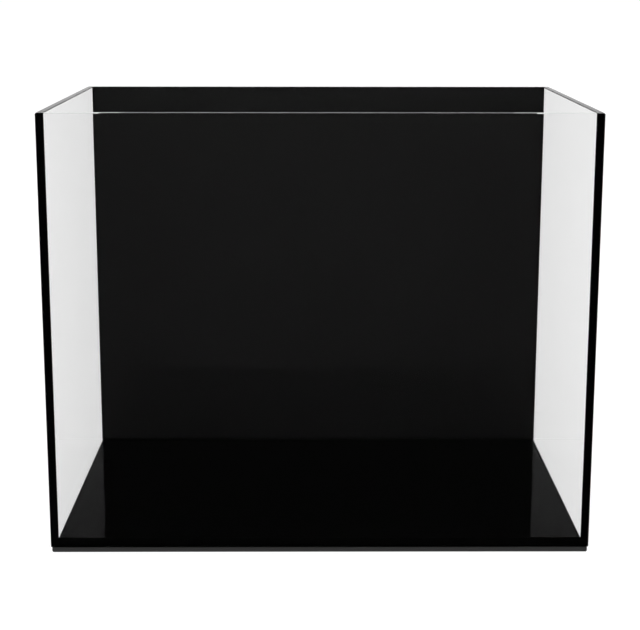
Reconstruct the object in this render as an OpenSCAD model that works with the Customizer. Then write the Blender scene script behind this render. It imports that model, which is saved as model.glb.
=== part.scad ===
// Rimless glass aquarium: five panes bonded with silicone, standing on a levelling mat.
// The origin is on the ground under the middle of the tank, with +Z up and the front at -Y.

/* [Tank] */
// Outside width of the glass
tank_w = 600; // [300:10:900]
// Outside depth, from the front pane to the film behind the back pane
tank_d = 400; // [200:10:600]
// Height of the glass, from the mat to the rim
glass_h = 482.5; // [200:0.5:600]

/* [Glass] */
// Thickness of the four walls and of the bottom pane
glass_t = 8; // [5:0.5:12]
// Width of the polished arris along every edge of a pane
arris = 0.8; // [0.3:0.1:1]
// Length cut off the outer corners of the front and back panes
corner_cut = 1.2; // [1:0.1:3]

/* [Silicone] */
// Thickness of the silicone between two panes
bond_t = 1; // [0.5:0.1:2]
// Distance that the upright sealing beads reach out from their seams, inside the tank
bead_reach = 0.3; // [0.3:0.1:2]
// Depth of the hollow that tooling leaves in the face of a bead
bead_hollow = 0.06; // [0.02:0.01:0.1]

/* [Film and mat] */
// Thickness of the black film behind the back pane and under the bottom pane
film_t = 0.2; // [0.1:0.1:0.5]
// Distance that the film behind the back pane stops short of the edges of the pane
film_margin = 0.5; // [0:0.5:3]
// Thickness of the levelling mat
mat_t = 6; // [3:1:10]
// Distance that the edges of the mat stand in from the glass
mat_inset = 1; // [0:0.5:5]

/* [Hidden] */
GLASS = [0.82, 0.9, 0.9, 0.35];
SILICONE = [0.03, 0.03, 0.03];
FILM = [0.06, 0.06, 0.065];
FOAM = [0.2, 0.2, 0.2];

$fn = 360;
rim_z = mat_t + glass_h;
floor_z = mat_t + film_t + glass_t;
inner_w = tank_w - 2 * glass_t;
inner_d = tank_d - film_t - 2 * glass_t;
// The glass is centred a little in front of the origin, because of the film behind it
mid_y = -film_t / 2;
// Length of the side and bottom panes between the bonds at their ends
pane_d = inner_d - 2 * bond_t;
// The beads round the floor are laid a little heavier than the upright ones
floor_reach = 1.4 * bead_reach;

// Centred rectangle with its four corners cut off
module cut_rectangle(w, h, cut) {
    x = w / 2;
    y = h / 2;
    polygon([
        [cut - x, -y], [x - cut, -y], [x, cut - y], [x, y - cut],
        [x - cut, y], [cut - x, y], [-x, y - cut], [-x, cut - y]
    ]);
}

// Outline of a sheet that stands in the XZ plane, drawn through its thickness
module sheet_outline(w, h, cut) {
    rotate([90, 0, 0]) linear_extrude(height = glass_t, center = true)
        cut_rectangle(w, h, cut);
}

// Centred sheet of glass in the XZ plane, with an arris along each of its twelve edges
module glass_sheet(w, h, cut) {
    intersection() {
        linear_extrude(height = h, center = true)
            cut_rectangle(w, glass_t, arris);
        rotate([90, 0, 90]) linear_extrude(height = w, center = true)
            cut_rectangle(glass_t, h, arris);
        sheet_outline(w, h, cut);
    }
}

// Puts a shape made for the front left corner at the side and the end that are asked for
module at_corner(side, end) {
    translate([0, mid_y, 0])
        mirror([side > 0 ? 1 : 0, 0, 0])
        mirror([0, end > 0 ? 1 : 0, 0])
        children();
}

// Front or back pane, as wide as the tank
module long_pane(end) {
    color(GLASS)
        translate([0, mid_y + end * (inner_d + glass_t) / 2, mat_t + glass_h / 2])
        glass_sheet(tank_w, glass_h, corner_cut);
}

// Left or right pane, bonded between the front and back panes
module side_pane(side) {
    color(GLASS)
        translate([side * (inner_w + glass_t) / 2, mid_y, mat_t + glass_h / 2])
        rotate([0, 0, 90])
        glass_sheet(pane_d, glass_h, arris);
}

// Bottom pane, bonded inside the four walls
module bottom_pane() {
    color(GLASS)
        translate([0, mid_y, floor_z - glass_t / 2])
        rotate([90, 0, 0])
        glass_sheet(inner_w - 2 * bond_t, pane_d, arris);
}

// Black film on the outer face of the back pane
module back_film() {
    color(FILM)
        translate([0, (tank_d - film_t) / 2, mat_t + glass_h / 2])
        cube([tank_w - 2 * film_margin, film_t, glass_h - 2 * film_margin], center = true);
}

// Black film under the bottom pane
module base_film() {
    color(FILM)
        translate([0, mid_y, mat_t + film_t / 2])
        cube([inner_w - 2 * bond_t, pane_d, film_t], center = true);
}

// Foam mat that the tank stands on
module levelling_mat() {
    color(FOAM)
        translate([0, 0, mat_t / 2])
        cube([tank_w - 2 * mat_inset, tank_d - 2 * mat_inset, mat_t], center = true);
}

// Silicone in an upright corner seam, which also fills the groove between the arrises
module corner_bond(side, end) {
    outer = -tank_w / 2;
    inner = -inner_w / 2;
    seam_y = -inner_d / 2;
    color(SILICONE) at_corner(side, end)
        intersection() {
            translate([0, 0, mat_t]) linear_extrude(height = glass_h - arris)
                polygon([
                    [inner, seam_y], [inner, seam_y + bond_t], [outer + arris, seam_y + bond_t],
                    [outer, seam_y + bond_t + arris], [outer, seam_y - arris],
                    [outer + arris, seam_y]
                ]);
            translate([0, seam_y, mat_t + glass_h / 2])
                sheet_outline(tank_w, glass_h, corner_cut);
        }
}

// Silicone between the bottom pane and the front or back pane
module end_base_bond(end) {
    color(SILICONE)
        translate([0, mid_y + end * (inner_d - bond_t) / 2, floor_z - glass_t / 2])
        cube([inner_w, bond_t, glass_t], center = true);
}

// Silicone between the bottom pane and a side pane
module side_base_bond(side) {
    color(SILICONE)
        translate([side * (inner_w - bond_t) / 2, mid_y, floor_z - glass_t / 2])
        cube([bond_t, pane_d, glass_t], center = true);
}

// Section of a bead in the angle at its origin, with legs along +X and +Y and a hollow face
module bead_section(x_leg, y_leg) {
    chord = norm([x_leg, y_leg]);
    radius = (chord * chord / 4 + bead_hollow * bead_hollow) / (2 * bead_hollow);
    outward = [y_leg, x_leg] / chord;
    centre = [x_leg, y_leg] / 2 + outward * (radius - bead_hollow);
    difference() {
        square([x_leg, y_leg] * 1.2);
        translate(centre) circle(r = radius);
    }
}

// Bead along the foot of the front pane, made for the front
module end_bead_shape() {
    translate([0, -inner_d / 2, floor_z])
        rotate([90, 0, 90]) linear_extrude(height = inner_w, center = true)
        bead_section(bond_t + floor_reach, floor_reach);
}

// Bead along the foot of the left pane, made for the left
module side_bead_shape() {
    translate([-inner_w / 2, 0, floor_z])
        rotate([90, 0, 0]) linear_extrude(height = pane_d, center = true)
        bead_section(bond_t + floor_reach, floor_reach);
}

// Sealing bead along the foot of the front or back pane
module end_floor_bead(end) {
    color(SILICONE) at_corner(-1, end) end_bead_shape();
}

// Sealing bead along the foot of a side pane, fitted to the beads at its ends
module side_floor_bead(side) {
    color(SILICONE) at_corner(side, -1) difference() {
        side_bead_shape();
        end_bead_shape();
        mirror([0, 1, 0]) end_bead_shape();
    }
}

// Sealing bead up the inside of a corner, fitted to the floor beads at its foot
module corner_bead(side, end) {
    color(SILICONE) at_corner(side, end) difference() {
        translate([-inner_w / 2, -inner_d / 2, floor_z])
            linear_extrude(height = rim_z - arris - floor_z)
            bead_section(bead_reach, bond_t + bead_reach);
        end_bead_shape();
        side_bead_shape();
    }
}

long_pane(-1);  // front_pane
long_pane(1);  // back_pane
side_pane(-1);  // left_pane
side_pane(1);  // right_pane
bottom_pane();
back_film();
base_film();
levelling_mat();
corner_bond(-1, -1);  // front_left_bond
corner_bond(1, -1);  // front_right_bond
corner_bond(-1, 1);  // back_left_bond
corner_bond(1, 1);  // back_right_bond
end_base_bond(-1);  // front_base_bond
end_base_bond(1);  // back_base_bond
side_base_bond(-1);  // left_base_bond
side_base_bond(1);  // right_base_bond
corner_bead(-1, -1);  // front_left_bead
corner_bead(1, -1);  // front_right_bead
corner_bead(-1, 1);  // back_left_bead
corner_bead(1, 1);  // back_right_bead
end_floor_bead(-1);  // front_floor_bead
end_floor_bead(1);  // back_floor_bead
side_floor_bead(-1);  // left_floor_bead
side_floor_bead(1);  // right_floor_bead
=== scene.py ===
"""The looks of a rimless glass aquarium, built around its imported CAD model."""

import math

import bmesh
import bpy
from mathutils import Matrix, Vector, noise


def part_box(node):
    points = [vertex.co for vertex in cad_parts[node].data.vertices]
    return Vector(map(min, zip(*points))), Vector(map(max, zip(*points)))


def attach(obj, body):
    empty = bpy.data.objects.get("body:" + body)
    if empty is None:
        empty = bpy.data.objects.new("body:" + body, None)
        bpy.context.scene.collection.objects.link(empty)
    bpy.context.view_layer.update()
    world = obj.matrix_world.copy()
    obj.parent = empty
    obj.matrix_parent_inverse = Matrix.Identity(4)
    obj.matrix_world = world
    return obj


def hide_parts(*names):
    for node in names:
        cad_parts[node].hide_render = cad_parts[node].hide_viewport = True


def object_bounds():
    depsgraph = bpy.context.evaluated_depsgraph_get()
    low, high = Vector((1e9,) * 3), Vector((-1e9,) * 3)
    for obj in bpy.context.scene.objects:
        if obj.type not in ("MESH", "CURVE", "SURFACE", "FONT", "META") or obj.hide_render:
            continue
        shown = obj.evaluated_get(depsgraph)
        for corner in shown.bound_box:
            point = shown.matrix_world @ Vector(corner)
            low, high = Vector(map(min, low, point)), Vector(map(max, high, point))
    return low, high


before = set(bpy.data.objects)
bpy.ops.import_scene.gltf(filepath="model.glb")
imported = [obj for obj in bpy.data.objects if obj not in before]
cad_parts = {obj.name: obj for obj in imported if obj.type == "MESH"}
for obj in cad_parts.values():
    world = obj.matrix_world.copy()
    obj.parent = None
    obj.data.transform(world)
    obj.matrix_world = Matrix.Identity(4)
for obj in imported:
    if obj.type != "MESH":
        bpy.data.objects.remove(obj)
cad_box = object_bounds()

MM = 0.001
BODY = "root"

# Camera: its place in metres, its turns in degrees, and its lens and sensor in millimetres
CAMERA_PLACE = Vector((-0.01072, -1.83593, 0.62894))
CAMERA_DOWN = 12.3289
CAMERA_RIGHT = 0.3677
CAMERA_ROLL = 0.0701
CAMERA_LENS = 87.217
CAMERA_SENSOR = 36.0

# The arris and the corner cut of the panes, as the CAD model has them
ARRIS = 0.8 * MM
CORNER_CUT = 1.2 * MM
# How far silicone and film reach into the glass that they wet, so that no gap mirrors
WET = 0.04 * MM
# Height of the beads round the floor, against the CAD's: full at the front, wiped thin at the sides
FLOOR_BEAD_RISE = {"front": 3.8, "back": 1.0, "left": 0.3, "right": 0.3}

# Glass: how much it bends light, what a surface passes, and how its glare is held down
GLASS_IOR = 1.5
GLASS_TINT_LOW = (0.977, 0.977, 0.977)
GLASS_TINT_HIGH = (0.983, 0.983, 0.983)
GLARE_POWER = 2.3
# The rim of the front pane bends light less, so that the far side shows through it
FRONT_RIM_IOR = 1.09
EDGE_TINT_LOW = (0.90, 0.92, 0.915)
EDGE_TINT_HIGH = (0.95, 0.96, 0.957)
EDGE_STREAKS = 160.0

# Seams: the hollow in their face, how far it wanders, and its depth halfway to its edges
SEAM_HOLLOW = 0.18 * MM
SEAM_WANDER = 0.05 * MM
SEAM_SHOULDER = 0.7
# Beads: how much their size wanders, how far their face bends in, and the steps across it
BEAD_SWELL = 0.07
BEAD_BEND = 0.36
BEAD_FACETS = 7
# How quickly silicone and foam turn uneven, in turns of the noise per metre
UNEVENNESS = 55
# Distance between the rings of an upright seam, a seam round the floor, and a bead
SEAM_STEP = 6 * MM
BASE_STEP = 8 * MM
BEAD_STEP = 5 * MM

# Film: the rounding of the trimmed corners, and the distance between the points of its outline
BACK_FILM_CORNER = 4 * MM
BASE_FILM_CORNER = 3 * MM
FILM_STEP = 10 * MM
CORNER_STEPS = 8

# Mat: rounding of its corners and edges, bulge of its sides, and unevenness of the cut.
# The power keeps the rounding close to the edges, and the crowding quickens the unevenness.
MAT_CORNER = 1.2 * MM
MAT_SOFT_EDGE = 0.5 * MM
MAT_BULGE = 0.3 * MM
MAT_WANDER = 0.07 * MM
MAT_EDGE_POWER = 5
MAT_CROWDING = 4
MAT_STEP = 3 * MM
MAT_LAYERS = 8

# Studio: brightness of the sky and of the floor, and half the width of the floor in metres
SKY_STRENGTH = 1.02
FLOOR_GLOW = 0.9
FLOOR_REACH = 30.0

# Part of a noise texture's range that holds nearly all of its values
NOISE_LOW = 0.25
NOISE_HIGH = 0.75
# Share of a face's normal along one axis that makes the face square to that axis
SQUARE = 0.99

SIDES = {"left": -1, "right": 1}
ENDS = {"front": -1, "back": 1}
UNIT_SQUARE = ((-1, -1), (1, -1), (1, 1), (-1, 1))


# ---------------------------------------------------------------- materials


def new_material(name, **sockets):
    """A material with one Principled shader, and its sockets set to these plain values."""
    material = bpy.data.materials.new(name)
    material.use_nodes = True
    shader = material.node_tree.nodes["Principled BSDF"]
    for socket, value in sockets.items():
        shader.inputs[socket.replace("_", " ")].default_value = value
    return material, material.node_tree, shader


def add_node(tree, kind, **settings):
    """A node of this kind, with input sockets set by name and properties by attribute."""
    made = tree.nodes.new(kind)
    for key, value in settings.items():
        if key in made.inputs:
            made.inputs[key].default_value = value
        else:
            setattr(made, key, value)
    return made


def pattern(tree, kind, output, low, high, **settings):
    """A procedural texture in object space, remapped to run from low to high."""
    place = add_node(tree, "ShaderNodeTexCoord")
    texture = add_node(tree, kind, **settings)
    tree.links.new(place.outputs["Object"], texture.inputs["Vector"])
    span = add_node(tree, "ShaderNodeMapRange")
    span.inputs["From Min"].default_value = NOISE_LOW
    span.inputs["From Max"].default_value = NOISE_HIGH
    span.inputs["To Min"].default_value = low
    span.inputs["To Max"].default_value = high
    tree.links.new(texture.outputs[output], span.inputs["Value"])
    return span.outputs["Result"]


def colour_between(tree, factor, low, high):
    """A colour that runs from the low colour to the high one with the factor."""
    mix = add_node(tree, "ShaderNodeMix", data_type="RGBA")
    tree.links.new(factor, mix.inputs["Factor"])
    mix.inputs[6].default_value = (*low, 1)
    mix.inputs[7].default_value = (*high, 1)
    return mix.outputs[2]


def add_bump(tree, shader, height, strength, distance):
    """Raises and lowers the look of the surface with the height."""
    bump = add_node(tree, "ShaderNodeBump", Strength=strength, Distance=distance)
    tree.links.new(height, bump.inputs["Height"])
    tree.links.new(bump.outputs["Normal"], shader.inputs["Normal"])


def built_glass(name, low, high, scale):
    """Polished glass that bends light as glass does, and mirrors less. Its tint runs low to high."""
    material = bpy.data.materials.new(name)
    material.use_nodes = True
    tree = material.node_tree
    tree.nodes.remove(tree.nodes["Principled BSDF"])
    streaks = pattern(tree, "ShaderNodeTexNoise", "Fac", 0, 1, Scale=scale, Detail=4.0)
    tint = colour_between(tree, streaks, low, high)
    through = add_node(tree, "ShaderNodeBsdfRefraction", Roughness=0.0, IOR=GLASS_IOR)
    tree.links.new(tint, through.inputs["Color"])
    mirror = add_node(tree, "ShaderNodeBsdfGlossy", Roughness=0.0, Color=(1, 1, 1, 1))
    fresnel = add_node(tree, "ShaderNodeFresnel", IOR=GLASS_IOR)
    glare = add_node(tree, "ShaderNodeMath", operation="POWER")
    glare.inputs[1].default_value = GLARE_POWER
    mix = add_node(tree, "ShaderNodeMixShader")
    tree.links.new(fresnel.outputs["Fac"], glare.inputs[0])
    tree.links.new(glare.outputs["Value"], mix.inputs["Fac"])
    tree.links.new(through.outputs["BSDF"], mix.inputs[1])
    tree.links.new(mirror.outputs["BSDF"], mix.inputs[2])
    tree.links.new(mix.outputs["Shader"], tree.nodes["Material Output"].inputs["Surface"])
    return material


def clear_glass():
    """The wide faces of a pane."""
    return built_glass("clear_glass", GLASS_TINT_LOW, GLASS_TINT_HIGH, 9.0)


def glass_edge():
    """The polished edges of a pane, faintly cooler than its faces."""
    return built_glass("glass_edge", EDGE_TINT_LOW, EDGE_TINT_HIGH, EDGE_STREAKS)


def front_rim():
    """The polished flat along the top of the front pane."""
    material, tree, shader = new_material(
        "front_rim", Transmission_Weight=1.0, IOR=FRONT_RIM_IOR, Roughness=0.0
    )
    streaks = pattern(tree, "ShaderNodeTexNoise", "Fac", 0, 1, Scale=EDGE_STREAKS, Detail=3.0)
    tint = colour_between(tree, streaks, EDGE_TINT_LOW, EDGE_TINT_HIGH)
    tree.links.new(tint, shader.inputs["Base Color"])
    return material


def front_arris():
    """The polished bevel between an edge and a face of the front pane."""
    return built_glass("front_arris", (0.84, 0.86, 0.855), (0.92, 0.93, 0.927), EDGE_STREAKS)


def shaded_glass_arris():
    """The same bevel on the other panes, with a fine grinding grit and a dark tint of painted shade."""
    # The dark tint is painted shade, so that the arris reads as a dark line
    return built_glass("shaded_glass_arris", (0.52, 0.54, 0.535), (0.64, 0.65, 0.647), 900.0)


def black_silicone(name, ior):
    """Black silicone with a faint ripple. Glass that it wets takes nearly all of its gloss."""
    material, tree, shader = new_material(name, Roughness=0.38, IOR=ior)
    mottle = pattern(tree, "ShaderNodeTexNoise", "Fac", 0, 1, Scale=260.0, Detail=3.0)
    colour = colour_between(tree, mottle, (0.0001, 0.0001, 0.0001), (0.0004, 0.0004, 0.0004))
    tree.links.new(colour, shader.inputs["Base Color"])
    add_bump(tree, shader, mottle, 0.25, 0.1 * MM)
    return material


def film_stuck_face():
    """The stuck face of the black background film, which shows through the back pane."""
    material, tree, shader = new_material("film_stuck_face", Roughness=0.0, IOR=1.07)
    grain = pattern(tree, "ShaderNodeTexNoise", "Fac", 0, 1, Scale=14.0, Detail=5.0)
    colour = colour_between(tree, grain, (0.0222, 0.0222, 0.0222), (0.0238, 0.0238, 0.0238))
    tree.links.new(colour, shader.inputs["Base Color"])
    return material


def film_outer_face():
    """The satin vinyl face of the background film, with faint strokes from laying it down."""
    material, tree, shader = new_material("film_outer_face", IOR=1.3)
    strokes = pattern(
        tree, "ShaderNodeTexNoise", "Fac", 0, 1, Scale=7.0, Detail=6.0, Distortion=1.2
    )
    colour = colour_between(tree, strokes, (0.004, 0.004, 0.0041), (0.011, 0.011, 0.0113))
    tree.links.new(colour, shader.inputs["Base Color"])
    wear = pattern(tree, "ShaderNodeTexNoise", "Fac", 0.36, 0.52, Scale=11.0, Detail=4.0)
    tree.links.new(wear, shader.inputs["Roughness"])
    grain = pattern(tree, "ShaderNodeTexNoise", "Fac", 0, 1, Scale=1400.0, Detail=2.0)
    add_bump(tree, shader, grain, 0.2, 0.05 * MM)
    return material


def base_black():
    """The dull black film under the bottom pane."""
    material, tree, shader = new_material("base_black", Roughness=0.6, IOR=1.01)
    grain = pattern(tree, "ShaderNodeTexNoise", "Fac", 0, 1, Scale=20.0, Detail=4.0)
    colour = colour_between(tree, grain, (0.0001, 0.0001, 0.0001), (0.0002, 0.0002, 0.0002))
    tree.links.new(colour, shader.inputs["Base Color"])
    return material


def mat_foam():
    """Dark grey closed-cell foam, with the cut cells showing as fine pits that hold painted shade."""
    material, tree, shader = new_material("mat_foam", Roughness=0.92, IOR=1.3)
    cells = pattern(
        tree, "ShaderNodeTexVoronoi", "Distance", 0, 1, Scale=1100.0, Randomness=1.0
    )
    # Darker where the pits are deepest: painted shade in the pits
    colour = colour_between(tree, cells, (0.023, 0.023, 0.023), (0.026, 0.026, 0.026))
    tree.links.new(colour, shader.inputs["Base Color"])
    add_bump(tree, shader, cells, 0.35, 0.25 * MM)
    return material


# ---------------------------------------------------------------- mesh tools


def make_piece(name, verts, faces, materials, stands_for, material_of=None):
    """A mesh piece that rides on the tank and stands for one CAD node."""
    mesh = bpy.data.meshes.new(name)
    mesh.from_pydata(verts, [], faces)
    for material in materials:
        mesh.materials.append(material)
    shape = bmesh.new()
    shape.from_mesh(mesh)
    bmesh.ops.recalc_face_normals(shape, faces=shape.faces)
    if material_of is not None:
        for face in shape.faces:
            face.material_index = material_of(face)
    shape.to_mesh(mesh)
    shape.free()
    piece = bpy.data.objects.new(name, mesh)
    bpy.context.scene.collection.objects.link(piece)
    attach(piece, BODY)
    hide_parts(stands_for)
    return piece


def swept(rings):
    """Vertices and faces of a closed skin over rings of equally many points, with both ends capped."""
    size = len(rings[0])
    verts = [point for ring in rings for point in ring]
    faces = []
    for k in range(len(rings) - 1):
        for i in range(size):
            j = (i + 1) % size
            here, there = k * size, (k + 1) * size
            faces.append((here + i, here + j, there + j, there + i))
    faces.append(tuple(range(size)))
    faces.append(tuple(range((len(rings) - 1) * size, len(rings) * size)))
    return verts, faces


def stations(low, high, step):
    """Evenly spaced places from low to high, about step apart."""
    count = max(2, round((high - low) / step))
    return [low + (high - low) * k / count for k in range(count + 1)]


def ripple(*place):
    """Smooth, repeatable unevenness between about -1 and 1, from a place in metres."""
    return noise.noise(Vector(place) * UNEVENNESS)


# ---------------------------------------------------------------- silicone


def corner_bond(end, side, material):
    """Silicone of an upright seam. It fills the groove between the arrises with a shallow hollow."""
    node = f"{end}_{side}_bond"
    low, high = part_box(node)
    out = SIDES[side]
    outer, inner = (low.x, high.x) if out < 0 else (high.x, low.x)
    foot, rim = (corner.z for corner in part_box("front_pane"))
    seam_low, seam_high = low.y + ARRIS, high.y - ARRIS
    middle = (low.y + high.y) / 2
    groove = out * ARRIS
    places = stations(low.z + CORNER_CUT, rim - CORNER_CUT, SEAM_STEP)
    rings = []
    for z in [low.z, *places, high.z]:
        cut = max(0, CORNER_CUT - (rim - z), CORNER_CUT - (z - foot))
        edge = outer - out * cut
        hollow = out * (SEAM_HOLLOW + SEAM_WANDER * ripple(outer, middle, z))
        rings.append([
            (inner, seam_low - WET, z),
            (edge - groove, seam_low - WET, z),
            (edge, low.y, z),
            (edge - hollow * SEAM_SHOULDER, (low.y + middle) / 2, z),
            (edge - hollow, middle, z),
            (edge - hollow * SEAM_SHOULDER, (high.y + middle) / 2, z),
            (edge, high.y, z),
            (edge - groove, seam_high + WET, z),
            (inner, seam_high + WET, z),
        ])
    verts, faces = swept(rings)
    return make_piece(f"{end}_{side}_seam", verts, faces, [material], node)


def base_bond(which, material):
    """Silicone between the bottom pane and a wall."""
    node = f"{which}_base_bond"
    low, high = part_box(node)
    along = 0 if which in ENDS else 1
    across = 1 - along
    rings = []
    for place in stations(low[along], high[along], BASE_STEP):
        ring = []
        for u, v in ((0, 0), (1, 0), (1, 1), (0.5, 1), (0, 1)):
            point = Vector((0, 0, 0))
            point[along] = place
            grown_low, grown_high = low[across] - WET, high[across] + WET
            point[across] = grown_low + u * (grown_high - grown_low)
            point.z = low.z + v * (high.z - low.z)
            ring.append(tuple(point))
        rings.append(ring)
    verts, faces = swept(rings)
    return make_piece(f"{which}_base_seam", verts, faces, [material], node)


def bead_section(leg_a, leg_b):
    """Points round a tooled bead in the angle at the origin, with a hollow face between its legs."""
    bend = (BEAD_BEND * leg_a, BEAD_BEND * leg_b)
    points = [(-WET, -WET), (leg_a, -WET)]
    for k in range(BEAD_FACETS + 1):
        t = k / BEAD_FACETS
        a = (1 - t) ** 2 * leg_a + 2 * t * (1 - t) * bend[0]
        b = t ** 2 * leg_b + 2 * t * (1 - t) * bend[1]
        points.append((a, b))
    points.append((-WET, leg_b))
    return points


def corner_bead(end, side, material):
    """Tooled bead up the inside of a corner."""
    node = f"{end}_{side}_bead"
    low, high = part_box(node)
    turn_x, turn_y = -SIDES[side], -ENDS[end]
    corner_x = low.x if turn_x > 0 else high.x
    corner_y = low.y if turn_y > 0 else high.y
    rings = []
    for z in stations(low.z, high.z, BEAD_STEP):
        swell = 1 + BEAD_SWELL * ripple(corner_x, corner_y, z)
        section = bead_section((high.x - low.x) * swell, (high.y - low.y) * swell)
        rings.append([(corner_x + turn_x * a, corner_y + turn_y * b, z) for a, b in section])
    verts, faces = swept(rings)
    return make_piece(f"{end}_{side}_fillet", verts, faces, [material], node)


def floor_bead(which, material):
    """Tooled bead along the foot of a wall."""
    node = f"{which}_floor_bead"
    low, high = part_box(node)
    along = 0 if which in ENDS else 1
    across = 1 - along
    turn = -{**ENDS, **SIDES}[which]
    wall = low[across] if turn > 0 else high[across]
    reach = high[across] - low[across]
    height = (high.z - low.z) * FLOOR_BEAD_RISE[which]
    rings = []
    for place in stations(low[along], high[along], BEAD_STEP):
        swell = 1 + BEAD_SWELL * ripple(place, wall, low.z)
        ring = []
        for a, b in bead_section(reach * swell, height * swell):
            point = Vector((0, 0, low.z + b))
            point[along] = place
            point[across] = wall + turn * a
            ring.append(tuple(point))
        rings.append(ring)
    verts, faces = swept(rings)
    return make_piece(f"{which}_floor_fillet", verts, faces, [material], node)


# ---------------------------------------------------------------- film and mat


def rounded_outline(half_u, half_v, radius, step):
    """Points round a rectangle with round corners, about step apart on its straight sides."""
    points = []
    corners = ((1, 1, 0), (-1, 1, 90), (-1, -1, 180), (1, -1, 270))
    for number, (su, sv, start) in enumerate(corners):
        cu, cv = su * (half_u - radius), sv * (half_v - radius)
        for k in range(CORNER_STEPS + 1):
            turn = math.radians(start + 90 * k / CORNER_STEPS)
            points.append((cu + radius * math.cos(turn), cv + radius * math.sin(turn)))
        next_u, next_v, next_start = corners[(number + 1) % len(corners)]
        turn = math.radians(next_start)
        target = (
            next_u * (half_u - radius) + radius * math.cos(turn),
            next_v * (half_v - radius) + radius * math.sin(turn),
        )
        here = points[-1]
        gap = math.dist(here, target)
        count = max(1, round(gap / step))
        for k in range(1, count):
            share = k / count
            points.append(tuple(h + (t - h) * share for h, t in zip(here, target)))
    return points


def back_film(stuck, outer):
    """Black film on the back pane, with its corners trimmed round."""
    low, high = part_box("back_film")
    centre = (low + high) / 2
    half = (high - low) / 2
    outline = rounded_outline(half.x, half.z, BACK_FILM_CORNER, FILM_STEP)
    rings = [
        [(centre.x + u, y, centre.z + v) for u, v in outline]
        for y in (low.y - WET, low.y + 0.5 * (high.y - low.y), high.y)
    ]
    verts, faces = swept(rings)
    return make_piece(
        "back_film_sheet", verts, faces, [stuck, outer], "back_film",
        lambda face: 0 if face.normal.y < -0.5 else 1,
    )


def base_film(material):
    """Black film under the bottom pane."""
    low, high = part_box("base_film")
    centre = (low + high) / 2
    half = (high - low) / 2
    outline = rounded_outline(half.x, half.y, BASE_FILM_CORNER, FILM_STEP)
    rings = [
        [(centre.x + u, centre.y + v, z) for u, v in outline]
        for z in (low.z, high.z + WET)
    ]
    verts, faces = swept(rings)
    return make_piece("base_film_sheet", verts, faces, [material], "base_film")


def levelling_mat(material):
    """Foam mat, knife-cut, with soft edges and sides that the weight has bulged a little."""
    low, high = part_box("levelling_mat")
    centre = (low + high) / 2
    half = (high - low) / 2
    thick = high.z - low.z
    outline = rounded_outline(half.x - MAT_BULGE, half.y - MAT_BULGE, MAT_CORNER, MAT_STEP)
    rings = []
    for k in range(MAT_LAYERS + 1):
        share = k / MAT_LAYERS
        soft = MAT_SOFT_EDGE * abs(2 * share - 1) ** MAT_EDGE_POWER
        bulge = MAT_BULGE * math.sin(math.pi * share)
        ring = []
        for u, v in outline:
            out = Vector((u / half.x, v / half.y))
            uneven = ripple(u * MAT_CROWDING, v * MAT_CROWDING, share)
            grow = bulge - soft + MAT_WANDER * uneven
            stretch = 1 + grow / max(half.x * abs(out.x), half.y * abs(out.y))
            ring.append((centre.x + u * stretch, centre.y + v * stretch, low.z + thick * share))
        rings.append(ring)
    verts, faces = swept(rings)
    piece = make_piece("levelling_mat_foam", verts, faces, [material], "levelling_mat")
    return piece


# ---------------------------------------------------------------- studio


def photo_camera():
    """The camera, looking a little down at the front of the tank."""
    down, right, roll = (math.radians(x) for x in (CAMERA_DOWN, CAMERA_RIGHT, CAMERA_ROLL))
    ahead = Vector((math.sin(right) * math.cos(down), math.cos(right) * math.cos(down), -math.sin(down)))
    across = Vector((math.cos(right), -math.sin(right), 0))
    above = across.cross(ahead)
    turned = math.cos(roll) * across + math.sin(roll) * above
    up = math.cos(roll) * above - math.sin(roll) * across
    data = bpy.data.cameras.new("camera")
    data.lens = CAMERA_LENS
    data.sensor_width = CAMERA_SENSOR
    data.clip_end = 100
    camera = bpy.data.objects.new("camera", data)
    camera.matrix_world = Matrix.Translation(CAMERA_PLACE) @ (
        Matrix((turned, up, -ahead)).transposed().to_4x4()
    )
    bpy.context.scene.collection.objects.link(camera)
    bpy.context.scene.camera = camera


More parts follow.
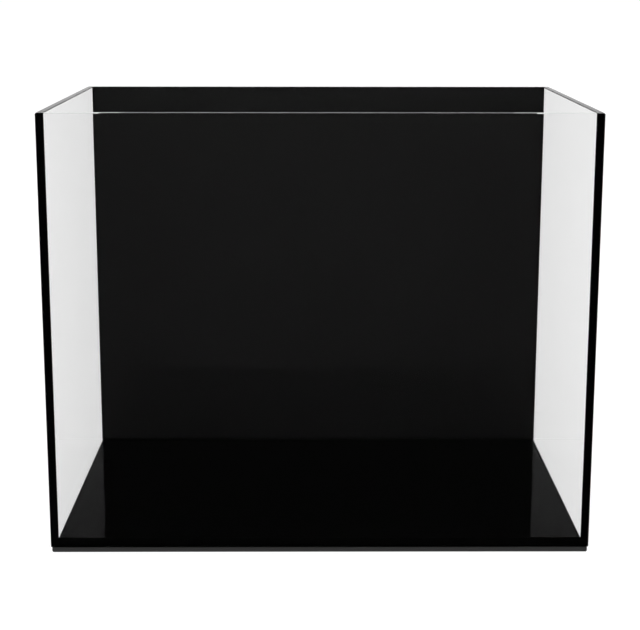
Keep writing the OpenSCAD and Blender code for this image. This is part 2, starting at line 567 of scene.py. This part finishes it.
def studio():
    """A white room: an even white sky and a plain pale floor with a faint contact shadow."""
    scene = bpy.context.scene
    scene.view_settings.view_transform = "Standard"
    world = bpy.data.worlds.new("white_room")
    world.use_nodes = True
    world.node_tree.nodes["Background"].inputs["Color"].default_value = (1, 1, 1, 1)
    world.node_tree.nodes["Background"].inputs["Strength"].default_value = SKY_STRENGTH
    scene.world = world
    mesh = bpy.data.meshes.new("floor")
    corners = [(x * FLOOR_REACH, y * FLOOR_REACH, cad_box[0].z) for x, y in UNIT_SQUARE]
    mesh.from_pydata(corners, [], [(0, 1, 2, 3)])
    floor = bpy.data.objects.new("floor", mesh)
    scene.collection.objects.link(floor)
    material, _, shader = new_material(
        "pale_floor", Roughness=1.0, Base_Color=(0.2, 0.2, 0.2, 1),
        Emission_Color=(1, 1, 1, 1), Emission_Strength=FLOOR_GLOW,
    )
    shader.inputs["Specular IOR Level"].default_value = 0
    material.cycles.emission_sampling = "NONE"
    mesh.materials.append(material)


# ---------------------------------------------------------------- the tank


def glaze(name, face, edge, rim, arris):
    """Gives a pane its glass: clear faces, polished edges and rim, and an arris between them."""
    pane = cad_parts[name]
    low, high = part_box(name)
    size = high - low
    through = min(range(3), key=lambda axis: size[axis])
    pane.data.materials.clear()
    for material in (face, edge, rim, arris):
        pane.data.materials.append(material)
    on_face, on_edge, on_rim, on_arris = range(4)
    for polygon in pane.data.polygons:
        square_on = max(range(3), key=lambda axis: abs(polygon.normal[axis]))
        if abs(polygon.normal[square_on]) < SQUARE:
            polygon.material_index = on_arris
        elif square_on == through:
            polygon.material_index = on_face
        else:
            polygon.material_index = on_rim if polygon.normal.z > SQUARE else on_edge


photo_camera()
studio()

bond_silicone = black_silicone("bond_silicone", 1.03)
bead_silicone = black_silicone("bead_silicone", 1.06)
face, edge, arris = clear_glass(), glass_edge(), shaded_glass_arris()
glaze("front_pane", face, edge, front_rim(), front_arris())
for which in ("back", *SIDES, "bottom"):
    glaze(f"{which}_pane", face, edge, edge, arris)

for end in ENDS:
    for side in SIDES:
        corner_bond(end, side, bond_silicone)
        corner_bead(end, side, bead_silicone)
for which in (*ENDS, *SIDES):
    base_bond(which, bond_silicone)
    floor_bead(which, bead_silicone)

back_film(film_stuck_face(), film_outer_face())
base_film(base_black())
levelling_mat(mat_foam())
